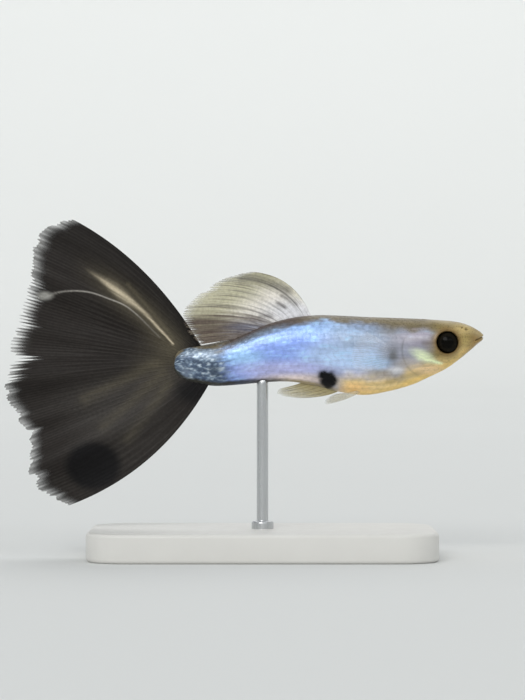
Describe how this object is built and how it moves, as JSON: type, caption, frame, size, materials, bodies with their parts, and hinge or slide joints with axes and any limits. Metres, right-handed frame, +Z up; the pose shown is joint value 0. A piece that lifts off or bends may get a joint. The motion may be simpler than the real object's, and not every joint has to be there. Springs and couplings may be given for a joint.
{
  "type": "fancy guppy display model",
  "caption": "Life-size still model of a male fancy guppy with a wide black delta tail fin, held level on a plain display stand by a slim rod.",
  "frame": {"origin": "middle of the underside of the stand's base, straight below the rod", "axes": "+X towards the snout, +Y to the fish's left, +Z up"},
  "size_m": [0.0502, 0.02, 0.0352],
  "materials": {
    "head_skin": "wet olive-grey skin with a silvery cheek and a peach throat",
    "flank_skin": "iridescent light blue scales, lavender low on the side, peach belly",
    "black_fin": "brown-black membrane with fine rays",
    "clear_fin": "clear yellowish membrane with grey rays",
    "eye": "wet black",
    "stand_base": "satin off-white",
    "stand_rod": "fine brushed"
  },
  "bodies": {
    "root": {"head": "head_skin", "torso": "flank_skin", "tail_stalk": "flank_skin", "tail_fin": "black_fin", "dorsal_fin": "clear_fin", "anal_fin": "clear_fin", "pelvic_fin_left": "clear_fin", "pelvic_fin_right": "clear_fin", "pectoral_fin_left": "clear_fin", "pectoral_fin_right": "clear_fin", "eye_left": "eye", "eye_right": "eye", "stand_base": "stand_base", "stand_rod": "stand_rod"}
  },
  "joints": []
}
